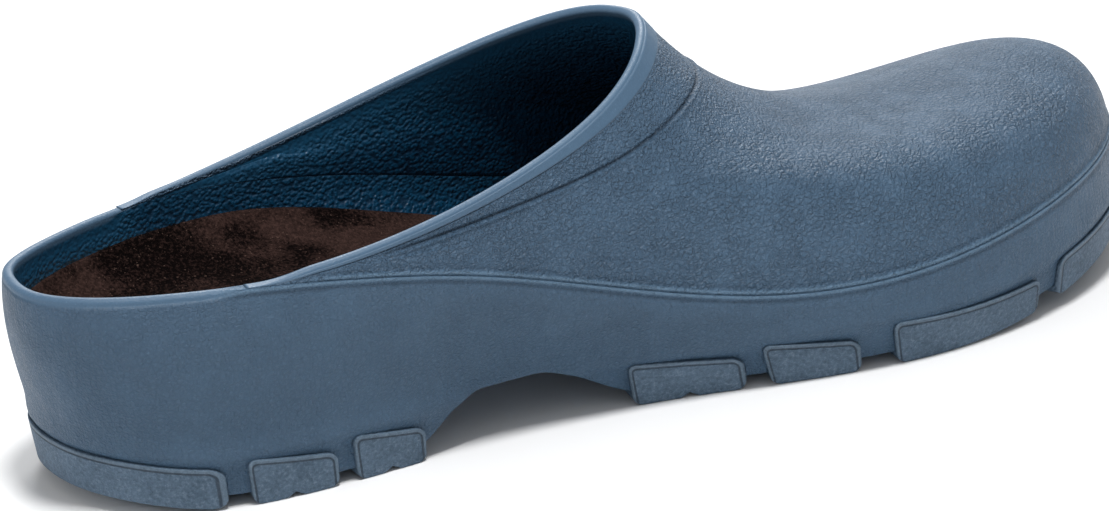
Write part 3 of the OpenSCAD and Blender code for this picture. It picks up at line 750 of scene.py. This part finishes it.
def lug(name, start, end, length, slope=0.0, notch=0.0):
    """Lug between two rib positions; its top falls by a slope over its length."""
    s = lug_places(length)
    u, d = mix(start, end, s), np.minimum(s, 1 - s) * length
    foot, o = spline(FOOT, u), outward(FOOT, u)
    base = ground_z(foot[:, 0])
    full_top = base + lug_height + slope * (0.5 - s)
    high = full_top - corner_fall(d, lug_corner)
    rise = corner_fall(d, foot_corner) + notch * np.maximum(0, 1 - np.abs(s - 0.5) * length / notch_half)
    tuck = corner_fall(d, end_round)[:, None] * o
    low = foot - tuck
    low[:, 2] = base + rise
    upper = wall_beside(u, high, -lug_proud) - tuck
    upper_in = wall_beside(u, high, -bond_gap)
    up_face, along_top = unit(upper - low), unit(upper_in - upper)
    foot_round = rounded(low, -o, up_face, lug_edge, 4)
    top_round = rounded(upper, -up_face, along_top, lug_edge, 5)
    face = mix(foot_round[:, -1:], top_round[:, :1], np.linspace(0, 1, 15)[None, 1:-1, None])
    corner = wall_foot(u)
    halfway = wall_beside(u, mix(corner[:, 2], high, 0.5), -bond_gap)
    corner = corner + bond_gap * o
    corner[:, 2] -= bond_gap
    inner = foot - lug_reach * o
    beneath = mix(foot_round[:, :1], inner[:, None], np.linspace(1, 0, 10)[None, :-1, None])
    beneath[..., 2] = ground_z(beneath[..., 0]) + rise[:, None]
    bond = mix(corner[:, None], inner[:, None], np.linspace(0, 1, 7)[None, :, None])
    bond[..., 2] = under_z(bond[..., 0]) - bond_gap
    loop = np.concatenate([beneath, foot_round, face, top_round, upper_in[:, None], halfway[:, None], bond], axis=1)
    below = full_top[:, None] - loop[..., 2]
    border = face_border(np.broadcast_to(d[:, None], below.shape), np.maximum(0, below))
    outside = np.zeros(loop.shape[:2], dtype=bool)
    outside[:, beneath.shape[1] + 2:beneath.shape[1] + foot_round.shape[1] + face.shape[1] + 4] = True
    make_piece(name, *capped_run(loop), rubber, "clog", name.replace("rubber", "lug"), "tread",
               {"edge": np.where(outside, border, far_from_edge)})


heel_back_end, toe_wrap_end, toe_end = 26.0, 245.0, 290.0
lug("rubber_heel_back", rib_at(heel_back_end, False) - RIBS, rib_at(heel_back_end), math.pi * heel_back_end)
lug("rubber_toe_wrap", rib_at(toe_wrap_end), rib_at(toe_wrap_end, False), math.pi * (toe_end - toe_wrap_end))
side_lugs = {"heel_{}_rear": (31.5, 53.0), "heel_{}_front": (57.5, 76.0), "ball_{}_rear": (130.5, 158.0),
             "ball_{}_middle": (163.5, 186.0), "ball_{}_front": (195.0, 238.0)}
notched = ("heel_{}_rear", "heel_{}_front", "ball_{}_rear")
for where, (rear, front) in side_lugs.items():
    notch = notch_depth if where in notched else 0.0
    lug("rubber_" + where.format("outer"), rib_at(rear), rib_at(front), front - rear, lug_slope, notch)
    lug("rubber_" + where.format("inner"), rib_at(front, False), rib_at(rear, False), front - rear, -lug_slope,
        notch)

# ---- Tread blocks ----
# Four flat blocks of the same rubber under the middle of the sole, bonded between the lugs of the two sides with a
# groove left open round each.
groove_width, block_edge = 4.0, 0.7


def tread_block(name, rear, front):
    """Flat block between two drawn places along the clog."""
    s = lug_places(front - rear)
    x = mix(*((v - drawn_middle[0]) * stretch[0] for v in (rear, front)), s)
    d = np.minimum(s, 1 - s) * (front - rear)
    inset, drop = lug_reach + groove_width, corner_fall(d, lug_corner)
    right_side = mix(*(spline(FOOT, rib_at(v))[1] for v in (rear, front)), s) + inset + drop
    left_side = mix(*(spline(FOOT, rib_at(v, False))[1] for v in (rear, front)), s) - inset - drop
    angle = np.linspace(0, math.pi / 2, 6)
    out, lifted = block_edge * (1 - np.sin(angle)), block_edge * (1 - np.cos(angle))
    y = np.concatenate([right_side[:, None], right_side[:, None] + lifted[None, :],
                        mix(right_side[:, None] + block_edge, left_side[:, None] - block_edge,
                            np.linspace(0, 1, 18)[None, 1:-1]),
                        left_side[:, None] - lifted[None, ::-1], left_side[:, None]], axis=1)
    up = np.concatenate([[0], out, np.zeros(16), out[::-1], [0]])[None, :] + corner_fall(d, block_edge)[:, None]
    z = ground_z(x)[:, None] + up
    z[:, (0, -1)] = under_z(x)[:, None] - bond_gap
    points = np.stack([np.broadcast_to(x[:, None], y.shape), y, z], axis=-1)
    make_piece(name, *capped_run(points, flip=True), rubber, "clog", name.replace("rubber", "tread"), "tread",
               {"edge": np.full(y.size, far_from_edge)})


tread_block("rubber_heel_block", 27.0, 74.0)
for place_name in ("rear", "middle", "front"):
    tread_block("rubber_ball_block_" + place_name, *side_lugs["ball_{}_" + place_name])

# ---- Footbed ----
# A loose footbed lies in the shell: a brown suede cover over cork between two thin layers of jute, glued together
# and dished at the heel. Only the cover shows; its pile is brushed in patches that look darker and lighter.
bed_heel, bed_ball, cup_rise, ball_rise = 11.0, 6.0, 11.0, 2.2
cover_t, jute_t, bed_lift = 1.4, 0.8, 0.5
heel_clearance, toe_clearance, edge_width = 0.6, 1.6, 1.4


def layer_middle(x, level):
    """Height of a stacked surface along the footbed's middle; level 0 is the lowest."""
    low = floor_z(x) + bed_lift
    top = floor_z(x) + mix(bed_heel, bed_ball, ease(x, 60, 160))
    return (low, low + jute_t, top - cover_t - jute_t, top - cover_t, top)[level]


def layer_edge(u, level):
    """Edge of one of the footbed's stacked surfaces, a clearance in from the shell's wall."""
    x = wall_foot(u)[..., 0]
    z = layer_middle(x, level) + (0 if level < 2 else mix(cup_rise, ball_rise, ease(x, 35, 170)))
    return wall_beside(u, z, shell_wall + mix(heel_clearance, toe_clearance, ease(x, 100, 190)), 0.02)


def bed_sheet(level, per_rib, across_steps):
    """One stacked surface as rows of points from heel to toe; the first and the last row are one point."""
    u = np.linspace(0, TOE_RIB, TOE_RIB * per_rib + 1)
    a, b = layer_edge(u, level), layer_edge(RIBS - u, level)
    v = np.linspace(0, 1, across_steps + 1)[None, :]
    points = mix(a[:, None], b[:, None], v[..., None])
    dish = 1 - (1 - np.abs(2 * v - 1) ** 3) * (1 - np.maximum(0, 1 - u * 3 / 8) ** 2)[:, None] \
        * (1 - np.maximum(0, 1 - (TOE_RIB - u)) ** 2)[:, None]
    points[..., 2] = mix(layer_middle(points[..., 0], level), points[..., 2], dish)
    points[..., 0, 2], points[..., -1, 2] = a[:, 2], b[:, 2]
    points[0], points[-1] = a[0], a[-1]
    return points


def bed_layer(name, low_level, material, slot, per_rib, across_steps, round_edge=0.0):
    """One layer of the footbed, between two stacked surfaces."""
    low, high = (bed_sheet(level, per_rib, across_steps) for level in (low_level, low_level + 1))
    if round_edge:
        near = np.minimum(np.linalg.norm(high - high[:, :1], axis=2), np.linalg.norm(high - high[:, -1:], axis=2))
        high[..., 2] -= round_edge * np.maximum(0, 1 - near / edge_width) ** 2
    count, width = low.shape[:2]
    numbers = np.arange(count * width).reshape(count, width)
    numbers[0], numbers[-1] = numbers[0, 0], numbers[-1, 0]
    upper = numbers + count * width
    points = np.concatenate([low.reshape(-1, 3), high.reshape(-1, 3)])
    faces = quads(numbers, flip=True) + quads(upper)
    for side, flip in ((0, False), (-1, True)):
        faces += quads(np.stack([numbers[:, side], upper[:, side]], 1), flip)
    used = sorted({p for face in faces for p in face})
    renumber = np.zeros(len(points), dtype=int)
    renumber[used] = np.arange(len(used))
    faces = [[int(renumber[p]) for p in face] for face in faces]
    make_piece(name, points[used], faces, material, "footbed", "foot" + name, slot)


suede, suede_shader, spot = finish_of("brushed_suede", Specular_IOR_Level=0.03, Sheen_Weight=0.02,
                                      Sheen_Roughness=0.4)
suede_shader.inputs["Sheen Tint"].default_value = (0.42, 0.3, 0.27, 1)
brushed = (spot.noise(26, 2, 0.45) * 0.75 + spot.noise(9, 3) * 0.25).over(0.42, 0.6)
pile = spot.noise(0.9, 3, 0.75).over(0.34, 0.66)
combed = spot.add("Mapping", None, {"Vector": spot, "Rotation": (0, 0, 0.5), "Scale": (1, 0.35, 1)})
fibre = combed.noise(0.45, 2, 0.7)
nap = brushed * 0.72 + (pile - 0.5) * 0.6 + (fibre - 0.5) * 0.9 + 0.02
brown = nap.add("Clamp", None, {"Value": nap}).colour((0.0022, 0.0012, 0.0012), (0.052, 0.029, 0.0245))
# Painted glints: sparse light specks on the pile
brown = (spot.noise(0.7, 1).over(0.68, 0.76) * 0.6).colour(brown, (0.14, 0.088, 0.07))
wear(suede, suede_shader, brown, 0.86 + (pile - 0.5) * 0.2, pile * 0.22 + fibre * 0.16 + brushed * 0.1, 1.0)
bed_layer("bed_cover", 3, suede, "suede", 16, 72, round_edge=0.5)

jute, jute_shader, spot = finish_of("woven_jute", Specular_IOR_Level=0.25)
thread_width = 0.8
uneven = spot.moved("ADD", spot.noise(3, 1, out="Color"))
warp_thread, weft_thread = (
    spot.maths("SINE", spot.add("SeparateXYZ", None, {"Vector": uneven}, out=axis) * (math.pi / thread_width))
    for axis in "XY")
weave = warp_thread * weft_thread * 0.5 + 0.5
straw = (weave * 0.7 + spot.noise(0.6, 2) * 0.3).colour((0.16, 0.095, 0.045), (0.42, 0.29, 0.16))
wear(jute, jute_shader, straw, 0.85 + (weave - 0.5) * 0.1, weave * 0.25, 1.0)
bed_layer("bed_upper_jute", 2, jute, "jute", 8, 40)

cork, cork_shader, spot = finish_of("pressed_cork", Specular_IOR_Level=0.3)
crumb_size = 2.6
crumbs = spot.add("RGBToBW", None, {"Color": spot.cells(crumb_size, "F1", "Color")}, out="Val")
gaps_between = spot.cells(crumb_size).over(0.0, 0.12)
cork_brown = crumbs.colour((0.17, 0.085, 0.038), (0.42, 0.25, 0.12))
pits = (1 - gaps_between) * 0.7 + spot.noise(0.8, 2).over(0.66, 0.74) * 0.6
cork_brown = pits.colour(cork_brown, (0.045, 0.022, 0.012))
wear(cork, cork_shader, cork_brown, 0.78 + (crumbs - 0.5) * 0.15, gaps_between * 0.2 + crumbs * 0.08, 1.0)
bed_layer("bed_cork", 1, cork, "cork", 8, 40)
bed_layer("bed_lower_jute", 0, jute, "jute", 8, 40)

# ---- Floor and light ----
# A plain pale floor in a white surround, with a big soft light from above and behind the toe, a smaller one from
# overhead and a weak one from beyond the heel.
floor_mesh = bpy.data.meshes.new("floor")
floor_shape = bmesh.new()
bmesh.ops.create_circle(floor_shape, cap_ends=True, segments=64, radius=2.5)
floor_shape.to_mesh(floor_mesh)
floor_shape.free()
floor = bpy.data.objects.new("floor", floor_mesh)
bpy.context.scene.collection.objects.link(floor)
floor_finish, floor_shader, spot = finish_of("pale_floor", Specular_IOR_Level=0.1)
pale = spot.noise(300, 2).colour((0.86, 0.86, 0.865), (0.885, 0.885, 0.885))
wear(floor_finish, floor_shader, pale, 0.75 + spot.noise(60) * 0.1, spot.noise(2, 2), 0.02)
floor_mesh.materials.append(floor_finish)

world = bpy.data.worlds.new("surround")
world.use_nodes = True
world.node_tree.nodes["Background"].inputs["Color"].default_value = (1, 1, 1, 1)
world.node_tree.nodes["Background"].inputs["Strength"].default_value = 0.44
bpy.context.scene.world = world


def soft_light(name, place_at, aim, size, power):
    """Round area light that faces a point."""
    lamp = bpy.data.lights.new(name, "AREA")
    lamp.shape, lamp.size, lamp.energy = "DISK", size, power
    lamp_object = bpy.data.objects.new(name, lamp)
    lamp_object.location = place_at
    lamp_object.rotation_euler = (Vector(aim) - Vector(place_at)).to_track_quat("-Z", "Y").to_euler()
    bpy.context.scene.collection.objects.link(lamp_object)


soft_light("key", (-0.1, -0.25, 1.2), (0, 0, 0.03), 0.24, 12.5)
soft_light("back", (0.45, 0.95, 0.72), (0.05, 0, 0.05), 0.6, 9)
soft_light("side", (-1.1, 0.1, 0.5), (0, 0, 0.03), 0.5, 1.5)
bpy.context.scene.view_settings.view_transform = "Standard"
